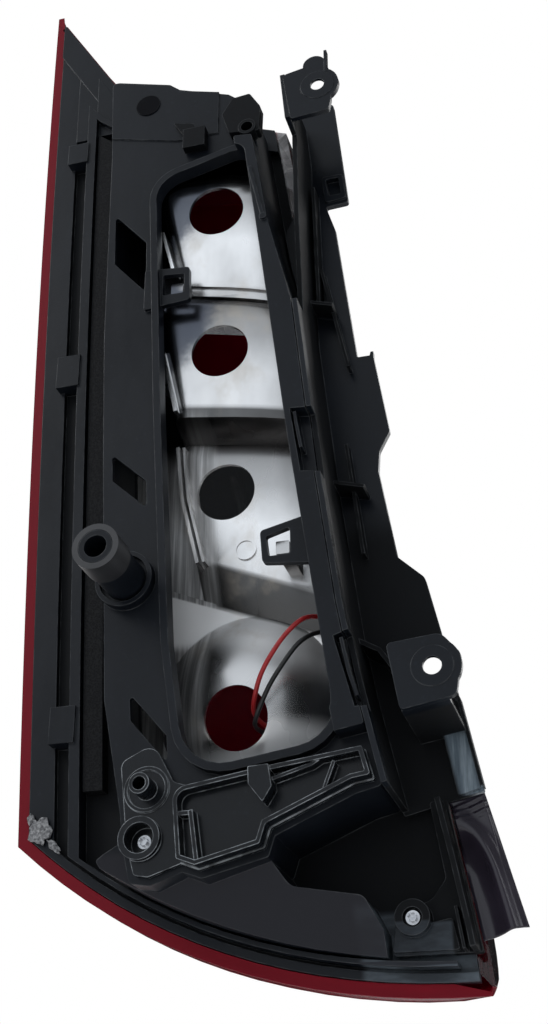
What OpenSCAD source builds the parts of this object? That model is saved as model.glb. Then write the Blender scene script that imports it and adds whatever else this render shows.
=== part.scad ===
// Rear lamp cluster for a vehicle, seen from the body side.
// X runs along the width, Z along the height, and the lens faces +Y.
// The origin is the centre of the lower fixing hole, on the seating face of its lug.
// Every outline is drawn in the X-Z plane and given its depth along Y by slab().

/* [Lens] */
// Y level of the rear rim of the lens
rim_y = 46; // [45:0.25:46.5]
// Width of the rear rim of the lens, which shows as a coloured edge
rim_w = 5; // [4:0.25:5.5]
// Height of the lens front above its rim
lens_h = 56; // [48:1:62]
// Wall of the lens front
lens_t = 2.6; // [2:0.1:3.2]
// Gap between the lens rim and the edge of the housing
rim_gap = 0.4; // [0.3:0.05:0.8]

/* [Housing] */
// Y level of the near face of the main panel
panel_y = 12; // [11.5:0.25:12.5]
// Y level of the edge around the bulb opening
opening_y = 7; // [6:0.5:8]
// Y level of the land along the side of the opening
land_y = 2; // [2:0.5:4]
// Y level of the rear face of the base plate
base_y = 48; // [48:0.1:48.4]
// Wall of the base plate
base_t = 2.5; // [2.2:0.1:2.8]
// Wall of the panel and the box under it
wall = 2.5; // [2:0.1:2.8]
// Width of the raised edge around the bulb opening
edge_w = 3.5; // [2.5:0.25:4]
// Height of the flange and the ribs above the base plate
flange_h = 3; // [2:0.25:4]
// Depth of the relief ribs in the edge channels
rib_h = 8; // [6:0.5:9]

/* [Reflector] */
// Bulb hole in each bowl
bulb_d = 27.6; // [24:0.2:30]
// Wall of the bowls
shell = 1.8; // [1.4:0.1:2.2]
// Y level of the upper chamber at its bulb hole
bowl_y = 16; // [15.5:0.25:17]
// Y level of the apex of the lower bowl
round_y = 24; // [23:0.5:26]
// How far the lower bowl looks down
bowl_tilt = 14; // [12:1:16]

/* [Fixings] */
// Lower fixing hole
lower_hole_d = 7.6; // [6:0.2:8.4]
// Upper fixing hole
upper_hole_d = 7; // [6:0.2:8]
// Raised seat around each fixing hole
seat_d = 17; // [15:0.5:18]
// Wall of the lugs
lug_t = 3.2; // [2.6:0.2:4]
// Diameter of the locating peg under its bush
peg_d = 15; // [13:0.5:16]
// Wall of the rubber bush around the peg
bush_t = 2.8; // [2:0.1:3.6]
// Bore in the end of the peg
peg_bore_d = 10; // [8:0.5:11]
// How far the peg reaches past the fixing faces
peg_out = 25; // [20:1:30]
// Length of the rubber bush
bush_l = 14; // [10:1:20]
// Thread diameter of the two screws
screw_d = 4; // [3.5:0.1:4.6]
// Head diameter of the two screws
head_d = 5.6; // [5:0.2:8]
// Gap around pressed and slid-in pieces
fit = 0.15; // [0.1:0.05:0.3]

/* [Small parts] */
// Diameter of the breather cap
breather_d = 13; // [11:0.5:14]
// Wall of the tray on the lower bracket
tray_t = 1.8; // [1.4:0.1:2.4]
// Outer diameter of the lead insulation
wire_d = 2; // [1.6:0.1:2.4]
// Width of the foam body seal
seal_w = 9; // [7:0.5:10]
// Wall of the rubber corner flap
flap_t = 2; // [1.6:0.2:2.6]

/* [Hidden] */
$fn = 48;
eps = 0.01;
base_front = base_y + base_t;
flange_y = base_y - flange_h;
rail_y1 = rim_y - 0.2;
rail_y0 = rail_y1 - 3;
rib_y = base_y - rib_h;
far = 400;
in_gap = rim_w + rim_gap;

// Corners of the lens outline: tip, left corner, right corner and the bends between them.
tip = [-207.7, 449.8];
left_corner = [-191, -44.5];
right_corner = [10.5, -116];
side_bend = [-14, 0];
top_corner = [-70, 326];
top_bend = [-165, 380.2];

lower_hole = [0, 0];
upper_hole = [-41.6, 310.6];
peg_at = [-133, 57.8];
screw_left_at = [-121.1, -56.2];
screw_right_at = [-18.9, -87.2];
boss_at = [-119.2, -36.3];
breather_at = [-134.3, 330.4];
bulb_at = [[-98, 257.7], [-95.4, 176.1], [-96.1, 108.8], [-87.4, -6]];
screw_left_y = 16;
screw_right_y = 38;

// Points on a curve from a to c that leaves and arrives along the lines through b.
function bend(a, b, c, n) = [for (i = [0:n]) let (t = i / n)
    (1 - t) * (1 - t) * a + 2 * t * (1 - t) * b + t * t * c];
function tail(p) = [for (i = [1:len(p) - 1]) p[i]];
function unit(v) = v / norm(v);
function inward(t) = [-t[1], t[0]];

left_edge = bend(tip, [-206, 203.7], left_corner, 14);
bottom_edge = bend(left_corner, [-105, -119.5], right_corner, 16);
right_edge = concat(bend(right_corner, [5, -64], side_bend, 6), tail(bend(side_bend, [-46, 150], top_corner, 8)));
top_edge = concat(bend(top_corner, [-150, 356], top_bend, 6), [tip]);

// One edge of the outline moved inward by d.
function moved(p, d) = [for (i = [0:len(p) - 1])
    p[i] + d * inward(unit(p[min(i + 1, len(p) - 1)] - p[max(i - 1, 0)]))];

// Everything on the inner side of one edge of the outline.
module inner_side(p, d) {
    s = moved(p, d);
    n = len(p) - 1;
    a = unit(p[1] - p[0]);
    b = unit(p[n] - p[n - 1]);
    polygon(concat([s[0] - far * a], s, [s[n] + far * b],
        [s[n] + far * b + 900 * inward(b), s[0] - far * a + 900 * inward(a)]));
}

// The lens outline moved inward by its own distance at each side.
module inset_lens(left, bottom, right, top) {
    intersection() {
        inner_side(left_edge, left);
        inner_side(bottom_edge, bottom);
        inner_side(right_edge, right);
        inner_side(top_edge, top);
    }
}

// Outline given clockwise as [x, z, corner radius] with round corners.
function corner(a, b, c, r) =
    let (u = unit([a[0] - b[0], a[1] - b[1]]), v = unit([c[0] - b[0], c[1] - b[1]]))
    let (half = acos(max(-1, min(1, u * v))) / 2, mid = unit(u + v), m = r / sin(half))
    let (o = [b[0], b[1]] + m * mid, s = [b[0], b[1]] + u * (m * cos(half)), e = [b[0], b[1]] + v * (m * cos(half)))
    let (a0 = atan2(s[1] - o[1], s[0] - o[0]), a1 = atan2(e[1] - o[1], e[0] - o[0]))
    let (turn = a1 - a0 > 180 ? a1 - a0 - 360 : (a1 - a0 < -180 ? a1 - a0 + 360 : a1 - a0))
    let (n = max(2, ceil(abs(turn) / 15)))
    [for (k = [0:n]) o + r * [cos(a0 + turn * k / n), sin(a0 + turn * k / n)]];
function rounded(p) = [for (i = [0:len(p) - 1])
    let (a = p[(i + len(p) - 1) % len(p)], b = p[i], c = p[(i + 1) % len(p)])
    each (len(b) < 3 || b[2] <= 0 ? [[b[0], b[1]]] : corner(a, b, c, b[2]))];

// A clockwise outline with every side moved outward by d.
function grown(p, d) = [for (i = [0:len(p) - 1])
    let (a = p[(i + len(p) - 1) % len(p)], b = p[i], c = p[(i + 1) % len(p)])
    let (s = unit([b[0] - a[0], b[1] - a[1]]), t = unit([c[0] - b[0], c[1] - b[1]]))
    let (n1 = [-s[1], s[0]], n2 = [-t[1], t[0]], k = d / (1 + n1 * n2))
    [b[0] + k * (n1[0] + n2[0]), b[1] + k * (n1[1] + n2[1]), len(b) < 3 || b[2] <= 0 ? 0 : max(0.4, b[2] + d)]];

// Gives an X-Z outline its depth from y0 to y1.
module slab(y0, y1) {
    translate([0, y1, 0])
        rotate([90, 0, 0])
            linear_extrude(y1 - y0)
                children();
}

module shape(p) {
    polygon(rounded(p));
}

module disc(at, d, y0, y1) {
    translate([at[0], y1, at[1]])
        rotate([90, 0, 0])
            cylinder(h = y1 - y0, d = d);
}

module block(x0, x1, y0, y1, z0, z1) {
    translate([x0, y0, z0])
        cube([x1 - x0, y1 - y0, z1 - z0]);
}

// A Y-Z profile carried along X.
module along_x(x0, x1) {
    translate([x0, 0, 0])
        rotate([90, 0, 90])
            linear_extrude(x1 - x0)
                children();
}

// A rib with square ends between two X-Z points.
module rib(a, b, t, y0, y1) {
    n = t / 2 * inward(unit(b - a));
    slab(y0, y1)
        polygon([a + n, b + n, b - n, a - n]);
}

// A row of points moved sideways by d, with mitred bends.
function beside(p, d) = [for (i = [0:len(p) - 1])
    let (s = unit(p[max(i, 1)] - p[max(i, 1) - 1]), t = unit(p[min(i + 1, len(p) - 1)] - p[min(i + 1, len(p) - 1) - 1]))
    let (n1 = inward(s), n2 = inward(t))
    p[i] + d * (n1 + n2) / (1 + n1 * n2)];

// A wall of even thickness through a row of points.
module ribs(p, t, y0, y1) {
    back = beside(p, -t / 2);
    slab(y0, y1)
        polygon(concat(beside(p, t / 2), [for (i = [len(p) - 1:-1:0]) back[i]]));
}

box = [[-155.5, 352.7, 3], [-123.2, 342.7], [-117.6, 337.8], [-91, 327.6], [-85, 322.4], [-80, 322, 2],
    [-74, 279], [-67.5, 235], [-56.2, 186], [-47, 98], [-38.5, 33], [-33.5, 5], [-26, -29], [-23.5, -42, 2],
    [-34, -44.5], [-66.5, -58.5], [-69, -66.5, 2], [-96, -73, 2], [-104, -70], [-117, -74.5, 3],
    [-126, -73, 3], [-129.5, -58], [-131, -45], [-140.7, 4.8], [-147.7, 118.4], [-151.2, 188], [-153.1, 299.4]];
opening = [[-126.5, 275, 14], [-80, 287, 7], [-71.4, 220.7], [-58.2, 114.5], [-38.8, -22.4, 17],
    [-102.5, -31.7, 20], [-111.4, 26.4], [-119.5, 145.7]];
land = [[-85, 290, 1], [-75.8, 289, 1], [-74, 279], [-67.5, 235], [-56.2, 186], [-47, 98], [-38.5, 33],
    [-33.5, 5], [-28, -20, 1], [-40, -22], [-52, 45], [-62, 114], [-75, 220]];
ramp = [[-122, -46, 1], [-71.5, -46, 1], [-71, -64.5, 2], [-63.7, -75.4, 6], [-35.5, -80, 4], [-29.5, -92, 2],
    [-29.4, -118, 1], [-110, -122, 1], [-142, -62, 1], [-124, -52, 1]];

// Recesses for the hooks of a fitting tool, cut in the land and in the wall beside it.
hook_recess = [[[-57, 127.8], [-46.5, 127], [-42.6, 94.4], [-52.4, 95.6]], [[-39.6, 18], [-31.2, 20.6], [-23.4, -12.3], [-31.5, -12.8]]];

// Slanted window in the panel, given by its upper left corner, width, height and the height of its ends.
function slanted(x, z, w, h, s) = [[x, z, 1], [x + w, z - h + s, 1], [x + w + 1, z - h, 1], [x + 1, z - s, 1]];
windows = [slanted(-149, 262, 17, 50, 30), slanted(-143.5, 123.5, 17, 30, 14), slanted(-129.5, 6.5, 17, 32, 12)];

// Arms that reach from the edge of the opening over the hooks of the reflector.
upper_arm = [[-131, 223, 1], [-108.5, 221, 1.5], [-108, 202, 1.5], [-131, 200, 1]];
lower_arm = [[-72.7, 73.5, 2], [-46, 80, 1], [-42, 55, 1], [-71.5, 58.3, 2]];
upper_hook = [-116.2, 213];
lower_hook = [-64, 67];

module bands() {
    slab(flange_y, base_y + eps)
        difference() {
            inset_lens(in_gap, in_gap, in_gap, in_gap);
            inset_lens(17, 9, -1, 14);
        }
    slab(rib_y, base_y + eps)
        difference() {
            inset_lens(25.5, 10.5, 12, 20);
            inset_lens(30.5, 12.5, -1, 23);
        }
}

module clip_blocks() {
    block(-191, -179.5, rib_y - 1, base_y + eps, 328, 341);
    block(-187.5, -175.5, rib_y - 1, base_y + eps, 184, 202);
    block(-177.5, -165.5, rib_y - 1, base_y + eps, -2, 15);
}

module housing() {
    color([0.07, 0.075, 0.08])
    difference() {
        union() {
            slab(base_y, base_front)
                inset_lens(in_gap, in_gap, in_gap, in_gap);
            bands();
            clip_blocks();
            slab(panel_y, base_y + eps)
                shape(box);
            slab(panel_y - 0.8, panel_y + eps)
                shape([[-155, 351.5, 2], [-123.4, 341.5], [-117.8, 336.6], [-96, 330], [-96, 303], [-118, 303], [-153.5, 313]]);
            slab(opening_y, panel_y + eps)
                shape(grown(opening, edge_w));
            slab(land_y, panel_y + eps)
                shape(land);
            intersection() {
                slab(14, base_y + eps)
                    intersection() {
                        shape(ramp);
                        inset_lens(26, 13.5, 12, 20);
                    }
                along_x(-150, -20)
                    polygon([[8, -45], [8, -50], [47, -115], [60, -115], [60, -45]]);
            }
            slab(rim_y - 2.4, rim_y - 0.2)
                difference() {
                    inset_lens(in_gap, in_gap, in_gap, 0.8);
                    inset_lens(-1, -1, -1, 14);
                }
            tip_cover();
            rib([-76.3, 268], [-69.6, 237], 1.8, land_y - 1, land_y + eps);
            disc([-69.4, 236], 3.4, land_y - 1.4, land_y + eps);
        }
        difference() {
            slab(panel_y + wall, base_front + 1)
                shape(grown(box, -wall));
            disc(peg_at, peg_d, panel_y, 30);
            disc(boss_at, 9, panel_y, 26);
            disc(screw_left_at, 10, panel_y, 34);
            rib(screw_left_at, screw_left_at + [-12, 0], 3, panel_y, 34);
        }
        slab(land_y + wall, panel_y + wall + 1)
            difference() {
                shape(grown(land, -2));
                shape(grown(opening, 2));
                for (r = hook_recess)
                    shape(grown(r, 2));
            }
        for (r = hook_recess)
            slab(land_y - 1, 10)
                shape(r);
        slab(0, 60)
            shape(opening);
        intersection() {
            slab(14, base_front + 1)
                shape(grown(ramp, -wall));
            slab(14, base_front + 1)
                inset_lens(30, 16.5, 16, 24);
            along_x(-150, -20)
                polygon([[8 + 1.2 * wall, -50], [47 + 1.2 * wall, -115], [60, -115], [60, -50]]);
        }
        for (w = windows)
            slab(panel_y - 1, panel_y + wall + 1)
                shape(w);
        disc(breather_at, breather_d - 4, panel_y - 2, panel_y + wall + 1);
        disc(screw_left_at, head_d + 9.5, panel_y - 1, screw_left_y + 2.6);
        disc(screw_left_at, screw_d, screw_left_y, 30);
        disc(screw_right_at, screw_d, screw_right_y, base_front + 12);
        disc(lead_clip_at, 5, panel_y - 2, panel_y + wall + 1);
        disc(retainer_at, 5, panel_y - 2, panel_y + wall + 1);
    }
    color([0.07, 0.075, 0.08])
    difference() {
        disc(screw_right_at, 10, base_front - eps, base_front + 10);
        disc(screw_right_at, screw_d, base_front - 1, base_front + 8);
    }
    color([0.07, 0.075, 0.08])
    difference() {
        union() {
            disc(peg_at, peg_d, -peg_out, panel_y + eps);
            disc(peg_at, peg_d + 3.6, -peg_out + bush_l, panel_y + eps);
            difference() {
                disc(peg_at, peg_d + 11, panel_y - 5, panel_y + eps);
                disc(peg_at, peg_d + 7, panel_y - 6, panel_y - 2);
            }
        }
        disc(peg_at, peg_bore_d, -peg_out - 1, 4);
    }
    color([0.07, 0.075, 0.08])
    arms();
    color([0.07, 0.075, 0.08])
    recess_bars();
}

// Flat cover behind the tip, with a step along its second strip.
module tip_cover() {
    high = [[-230, 348], [-230, 470], [-150, 470], [-150, 348]];
    slab(flange_y - 0.6, rim_y - 0.2)
        intersection() {
            inset_lens(17, 9, 9, 0.8);
            polygon(high);
        }
    slab(flange_y, base_y + eps)
        intersection() {
            inset_lens(17, 9, 9, in_gap);
            polygon(high);
        }
    slab(flange_y - 1.6, base_y + eps)
        intersection() {
            inset_lens(29, 9, 9, in_gap);
            polygon(high);
        }
}

// Bars that stand in the two hook recesses.
module recess_bars() {
    ribs([[-55.2, 126.4], [-54.4, 120], [-52.4, 108]], 1.4, land_y + 1, 10 + eps);
    ribs([[-36.6, 17.2], [-33.6, 2], [-30.6, -8]], 1.4, land_y + 1, 10 + eps);
}

module arms() {
    difference() {
        slab(10, 13)
            shape(upper_arm);
        slab(9, 14)
            shape([for (c = [[-5.5, 5.6], [5.2, 4.6], [5.2, -6.6], [-5.5, -6.4]]) [upper_hook[0] + c[0], upper_hook[1] + c[1], 1]]);
    }
    difference() {
        slab(10, 13)
            shape(lower_arm);
        slab(9, 14)
            shape([for (c = [[-6, 3.6], [4.6, 6.8], [4.8, -5.8], [-4.8, -6]]) [lower_hook[0] + c[0], lower_hook[1] + c[1], 1]]);
    }
}

lead_clip_at = [-107, 299];
retainer_at = [-86, 308];

rail_wall = [[-59.5, 322], [-57, 296], [-56.3, 240], [-54.6, 186], [-45.4, 98], [-36.9, 33], [-31.9, 5], [-24.4, -29], [-21, -44]];
rail_flange = [[-60.7, 337], [-43.6, 336.6, 2], [-37.1, 270.2, 1.5], [-48.6, 269.6, 1], [-44.2, 254.6, 3],
    [-35, 176.5, 1], [-29, 176.5], [-28.5, 178.5], [-27.2, 178.5], [-27.2, 175.2], [-21, 133.8, 2],
    [-26.1, 124, 4], [-26.9, 113.6, 4], [-19.8, 69.5, 3], [-8.3, 58.3, 5], [-3, 34, 3],
    [2.6, 6, 4], [11.2, -38, 1], [-1, -41.2, 1], [-21.5, -46, 1], [-25.4, -29], [-33, 5], [-38, 33], [-46.4, 98],
    [-55.6, 186], [-66.7, 235], [-70, 256, 3], [-60, 280, 3]];
upper_lug = [[-59.3, 321.3, 2.5], [-46, 324, 1], [-36, 322, 2], [-35, 300, 2], [-36.3, 293.7, 1.5], [-55.4, 292.2, 1.5]];
lower_lug = [[-18.1, 11.3, 2], [3.8, 13.4, 5], [11.5, 4, 4], [8.7, -12.9, 3], [-13.4, -16.8, 2]];

module side_rail() {
    color([0.06, 0.065, 0.075])
    difference() {
        union() {
            slab(rail_y0, rail_y1)
                shape(rail_flange);
            ribs([for (k = [3:8]) rail_wall[k]], 2.4, land_y, rail_y1);
            ribs([for (k = [2:4]) rail_wall[k]], 2.4, 14, rail_y1);
            ribs([for (k = [0:2]) rail_wall[k]], 2.4, 14, rail_y1);
            ribs([[-59.5, 322], [-57, 294]], 2.4, 0.6, rail_y1);
            ribs([for (k = [4:7]) rail_wall[k]], 2, 40, base_y);
            slab(0.4, lug_t)
                shape(upper_lug);
            disc(upper_hole, 21.2, 0.4, lug_t);
            disc([-43, 324], 11.5, 0.4, lug_t);
            block(-38, -36.6, 0, lug_t, 318, 332);
            disc(upper_hole, seat_d, 0, lug_t);
            slab(0.4, lug_t)
                shape(lower_lug);
            disc(lower_hole, 23.2, 0.4, lug_t);
            disc(lower_hole, seat_d, 0, lug_t);
            ribs([[-17, 10.5], [-12.4, -15], [5.4, -12]], 2.4, lug_t - eps, rail_y1);
            ribs([[-36.4, 26], [-26, 20], [-14, 2]], 2, 26, rail_y1);
            rib([-60, 310], [-46, 312], 2, lug_t - eps, 20);
            rib([-50, 226], [-38, 168], 1.6, 36, rail_y1);
            rib([-40, 126], [-33.5, 70], 1.6, 36, rail_y1);
            rib([-56, 204], [-43.5, 200], 1.6, 30, rail_y1);
            rib([-45, 104], [-31, 100], 1.6, 30, rail_y1);
            rib([-53, 276], [-51, 205], 1.6, 34, rail_y1);
            slab(rail_y0 - 1.2, rail_y1)
                shape([[-50.5, 288, 1.5], [-39.5, 288, 1.5], [-38, 272.5, 1.5], [-48.5, 271.5, 1.5]]);
            slab(rail_y0 - 1.4, rail_y1)
                shape([[-6.5, 0, 2], [2, 2, 1], [10.3, -37, 1], [0.8, -39.6, 1]]);
            rib([3.4, 1], [10.7, -36.6], 1.4, rail_y0 - 3.4, rail_y1);
        }
        slab(rail_y0 - 3, rail_y1 - 0.8)
            shape([[-48.3, 286.2, 1], [-41.6, 286.2, 1], [-40.4, 275.5, 1], [-46.8, 275.5, 1]]);
        slab(25, base_y + 1)
            polygon([[-21, 27], [-5, 31], [0, 19], [-3, 12], [-13, 12], [-21, 16]]);
        for (r = hook_recess)
            slab(land_y - 1, 10)
                shape(grown(r, 0.3));
        disc(upper_hole, upper_hole_d, -1, lug_t + 1);
        disc(lower_hole, lower_hole_d, -1, lug_t + 1);
        disc(upper_hole, 12.4, 1.6, lug_t + 1);
        disc(lower_hole, 12.4, 1.8, lug_t + 1);
    }
    color([0.06, 0.065, 0.075])
    rail_foot();
}

// Foot of the rail with the shelf and the collar of the right screw.
module rail_foot() {
    difference() {
        union() {
            slab(rail_y0 - 1, rail_y1)
                shape([[-11, -41, 1], [-3.7, -41, 1], [-2.7, -48], [6.9, -100.6, 1], [-28.4, -100.6, 2], [-26, -84, 6], [-12, -80, 6], [-6, -72, 3]]);
            ribs([[-6, -43], [-1.4, -66], [3.8, -95], [4.6, -100.4]], 2.2, 30, rail_y1);
            ribs([[-1.6, -84.5], [0.8, -100.4]], 1.2, 34, rail_y1);
            disc(screw_right_at, 14, screw_right_y - 2, base_y);
            slab(rail_y0 - 3, rail_y1)
                shape([[-26.2, -90.4, 1], [-15, -89.4, 1], [-4, -87.6, 1], [-1.6, -99.6, 1], [-27.6, -99.4, 1]]);
        }
        disc(screw_right_at, head_d + 2, screw_right_y - 3, screw_right_y + 1);
        disc(screw_right_at, screw_d + 0.6, screw_right_y, base_y + 1);
    }
}

bracket = [[-131, -24, 4], [-117, -17, 6], [-108, -34, 3], [-99.8, -36.8, 4], [-77.6, -33.6], [-64.2, -31.8], [-29.4, -27.6, 1],
    [-26, -40.3, 1], [-34.1, -41.4], [-67.6, -56, 2], [-70, -63.6, 1], [-96.4, -70.2, 1], [-104.2, -67.2],
    [-117.5, -71.5, 2], [-123.5, -70.4, 2], [-127, -58, 2]];
tray = [[-106.6, -38.6, 6], [-77.6, -34.2], [-64.2, -32.4], [-29.6, -28.2, 1], [-26.6, -39.8, 1], [-34.1, -40.9],
    [-68.1, -55.6, 2], [-70.5, -63.2, 1], [-96.4, -69.6, 1], [-104, -66.6, 1]];

module lower_bracket() {
    floor_y = panel_y - 2;
    color([0.055, 0.06, 0.065])
    difference() {
        union() {
            slab(floor_y, panel_y)
                shape(bracket);
            slab(4, panel_y)
                difference() {
                    shape(tray);
                    shape(grown(tray, -tray_t));
                }
            ribs([[-98.8, -47.8], [-95.8, -68.5]], tray_t, 4.5, panel_y);
            rib([-105.2, -48.6], [-98.4, -48.6], tray_t, 5, panel_y);
            slab(2.4, panel_y)
                shape([[-75, -33, 0.5], [-66.6, -32.6, 0.5], [-65.2, -41.6, 0.5], [-68.9, -47.6, 0.5], [-74.7, -40, 0.5]]);
            ribs([[-66, -38], [-50, -33.5], [-46, -31]], 1.4, 5, panel_y);
            rib([-45, -43.5], [-41, -33], 1.4, 5, panel_y);
            disc(boss_at, 19, 9, panel_y);
            disc(screw_left_at, 17.5, 7.5, panel_y);
            disc(screw_left_at, head_d + 9, panel_y - eps, screw_left_y + 2.5);
        }
        disc(boss_at, 15.8, 8, floor_y);
        disc(screw_left_at, head_d + 6.6, 6, screw_left_y);
        disc(screw_left_at, screw_d + 0.6, 6, 30);
        disc(boss_at, 5.5, -2, 30);
    }
    color([0.055, 0.06, 0.065])
    difference() {
        disc(boss_at, 8.6, 0.5, panel_y);
        disc(boss_at, 5.5, -1, 30);
    }
}

// A chamber of the reflector is a block from its curved back to the side of the lens.
// Its corners run lower left, lower right, upper right, upper left. Then come its levels
// from bottom to top, the depth of its left edge, where its top rolls away, and how far.
chambers = [
    [[[-116.5, 213.2], [-63.5, 200.7], [-78, 289.5], [-135, 297]],
        [[0, bowl_y + 5], [0.055, bowl_y + 5], [0.06, bowl_y + 3.6], [1, bowl_y - 2.2]],
        [0, 0.055, 0.06, 0.4, 0.7, 0.77, 0.84, 0.9, 0.95, 0.985, 1], 9, 0.7, 26],
    [[[-117.5, 137.2], [-55.5, 127.9], [-63.5, 201], [-131, 216.9]],
        [[0, bowl_y + 16], [0.09, bowl_y + 4.6], [1, bowl_y + 1]],
        [0, 0.09, 0.4, 0.7, 0.82, 0.91, 0.97, 1], 7, 0.7, 7],
    [[[-110, 60.9], [-44.5, 32.7], [-55.5, 128.2], [-119.5, 137.8]],
        [[0, bowl_y + 29], [0.21, bowl_y + 21], [1, bowl_y + 16]],
        [0, 0.21, 0.5, 0.8, 0.9, 1], 6, 0.8, 3]];
across_at = [0, 0.012, 0.035, 0.07, 0.1, 0.14, 0.5, 0.7, 0.85, 1];

function between(a, b, k) = a + k * (b - a);
function roll(k) = k <= 0 ? 0 : 1 - sqrt(max(0, 1 - k * k));
function chamber_point(c, s, t, less) =
    let (q = c[0], ds = less / 55, dt = less / 80, a = ds + s * (1 - 2 * ds), b = dt + t * (1 - 2 * dt))
    let (p = between(between(q[0], q[1], a), between(q[3], q[2], a), b))
    [p[0], less + min(base_front - 1, lookup(t, c[1]) + c[3] * roll(1 - s / 0.14)
        + 12 * pow(max(0, s - 0.45), 2) + c[5] * roll((t - c[4]) / (1 - c[4]))), p[1]];

module chamber(k, less, end) {
    c = chambers[k];
    n = len(across_at) - 1;
    m = len(c[2]) - 1;
    w = n + 1;
    back = [for (t = c[2]) for (s = across_at) chamber_point(c, s, t, less)];
    edge = concat([for (i = [0:n]) i], [for (j = [1:m]) j * w + n], [for (i = [n - 1:-1:0]) m * w + i], [for (j = [m - 1:-1:1]) j * w]);
    count = len(back);
    front = [for (e = edge) [back[e][0], end, back[e][2]]];
    middle = [(back[0][0] + back[count - 1][0]) / 2, end, (back[0][2] + back[count - 1][2]) / 2];
    fan = [for (i = [0:len(edge) - 1]) [count + i, count + (i + 1) % len(edge), count + len(edge)]];
    cells = [for (j = [0:m - 1]) for (i = [0:n - 1]) let (a = j * w + i) each [[a, a + w, a + w + 1], [a, a + w + 1, a + 1]]];
    sides = [for (i = [0:len(edge) - 1]) let (h = (i + 1) % len(edge)) [edge[i], edge[h], count + h, count + i]];
    intersection() {
        polyhedron(points = concat(back, front, [middle]), faces = concat(cells, sides, fan), convexity = 6);
        slab(0, 80)
            shape(grown(box, -wall - 0.6 - less));
    }
}

// Frame of the lower bowl, with its axis along +Z.
module at_bowl(depth) {
    translate([bulb_at[3][0], round_y + depth, bulb_at[3][1]])
        rotate([-90 + bowl_tilt, 0, 0])
            children();
}

module lower_bowl(less, end) {
    f = 18;
    steps = 8;
    rr = 58;
    intersection() {
        union() {
            at_bowl(less)
                rotate_extrude($fn = 48)
                    polygon(concat([for (i = [0:steps]) let (q = rr * i / steps) [q, q * q / (4 * f)]], [[rr, 70], [0, 70]]));
            slab(45 + less, end)
                square(400, center = true);
        }
        slab(0, end)
            intersection() {
                shape(grown(box, -wall - 0.6 - less));
                polygon([[-126 + less, 68.1 - 1.2 * less], [-30, 26.8 - 1.2 * less], [-30, -60], [-126 + less, -60]]);
            }
    }
}

module reflector() {
    end = base_front + 1;
    color([0.85, 0.86, 0.88])
    difference() {
        union() {
            slab(base_front, base_front + 1.8)
                difference() {
                    inset_lens(12, 12, 12, 12);
                    polygon([[-230, -52], [60, -52], [60, -150], [-230, -150]]);
                }
            for (k = [0:2])
                chamber(k, 0, end);
            lower_bowl(0, end);
            rib([-125.5, 250.3], [-119, 225], 1.6, bowl_y + 0.6, end);
            rib([-124, 181], [-116.3, 146.6], 1.8, bowl_y + 3, end);
            ribs([[-118.8, 134], [-115.9, 106.5], [-107.8, 72.9]], 1.6, bowl_y + 14.6, end);
            ribs([[-116.2, 134], [-113.3, 106.5], [-105.2, 73.5]], 1.3, bowl_y + 15.6, end);
            slab(15, 44)
                shape([for (c = [[-3, 3], [3, 3], [3, -3.5], [-3, -3.5]]) [upper_hook[0] + c[0], upper_hook[1] + c[1], 0.5]]);
            slab(15, 44)
                shape([for (c = [[-3, 3], [3, 3], [3, -3], [-3, -3]]) [lower_hook[0] + c[0], lower_hook[1] + c[1], 0.5]]);
            disc([-86.9, 79], 10, bowl_y + 19.4, 44);
        }
        for (k = [0:2])
            chamber(k, shell, end + 5);
        lower_bowl(shell, end + 5);
        disc([-86.9, 79], 8.6, bowl_y + 15, bowl_y + 19.9);
        for (i = [0:2])
            disc(bulb_at[i], bulb_d, 0, 48);
        at_bowl(-8)
            cylinder(h = 24, d = bulb_d);
    }
}

// Rows of the lens run from its left and bottom edges to its top and right edges.
rows = 56;
turn_row = 40;
front_x = [0, 0, 0.02, 0.055, 0.11, 0.2, 0.33, 0.5, 0.68, 0.84, 0.94, 0.985, 1, 1];
front_y = [0, 0.24, 0.42, 0.6, 0.76, 0.87, 0.94, 0.98, 1, 0.995, 0.97, 0.9, 0.76, 0];
cols = len(front_x) - 1;

function reversed(p) = [for (k = [len(p) - 1:-1:0]) p[k]];
left_path = concat(left_edge, tail(bottom_edge));
right_path = concat(reversed(top_edge), tail(reversed(right_edge)));
left_path_in = beside(left_path, rim_w);
right_path_in = beside(right_path, -rim_w);
left_path_thin = beside(left_path, lens_t);
right_path_thin = beside(right_path, -lens_t);

// Point at a place along a path, counted in its own steps.
function along(p, k) = let (i = min(floor(k), len(p) - 2)) p[i] + (k - i) * (p[i + 1] - p[i]);
top_rows = 10;
side_steps = len(left_edge) - 1;
top_steps = len(top_edge) - 1;
function left_place(i) = i <= turn_row ? side_steps * (0.004 + 0.996 * i / turn_row)
    : side_steps + (len(bottom_edge) - 1) * (i - turn_row) / (rows - turn_row) * 0.99;
function right_place(i) = i <= top_rows ? top_steps * (0.02 + 0.98 * i / top_rows)
    : top_steps + (len(right_edge) - 1) * (i - top_rows) / (rows - top_rows) * 0.985;
function rise(i) = let (t = i / rows)
    lens_h * max(0.07, min(sqrt(max(0, 1 - pow(1 - min(1, t / 0.16), 2))), sqrt(max(0, 1 - pow(max(0, (t - 0.64) / 0.36), 2.2)))));

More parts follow.
